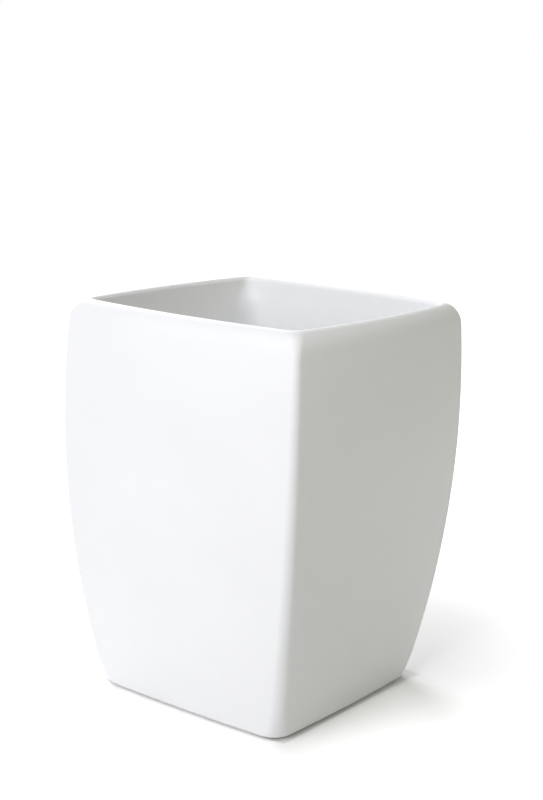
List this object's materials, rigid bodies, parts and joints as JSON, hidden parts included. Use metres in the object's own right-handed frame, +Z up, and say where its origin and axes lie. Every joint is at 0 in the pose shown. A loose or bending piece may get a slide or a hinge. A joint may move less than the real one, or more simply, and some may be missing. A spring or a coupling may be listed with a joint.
{
  "type": "bathroom tumbler",
  "caption": "Square barrel-sided ceramic tumbler with a rolled lip, on round non-slip pads, for toothbrushes or rinsing.",
  "frame": {"origin": "on the surface that the tumbler stands on, under the centre of its square foot", "axes": "+Z up towards the open rim, +X and +Y square to two walls"},
  "size_m": [0.08, 0.08, 0.106],
  "materials": {
    "glaze": "satin white glaze",
    "pad": "matt, pale translucent grey"
  },
  "bodies": {
    "root": {"body": "glaze", "pad_front_left": "pad", "pad_front_right": "pad", "pad_back_left": "pad", "pad_back_right": "pad"}
  },
  "joints": []
}
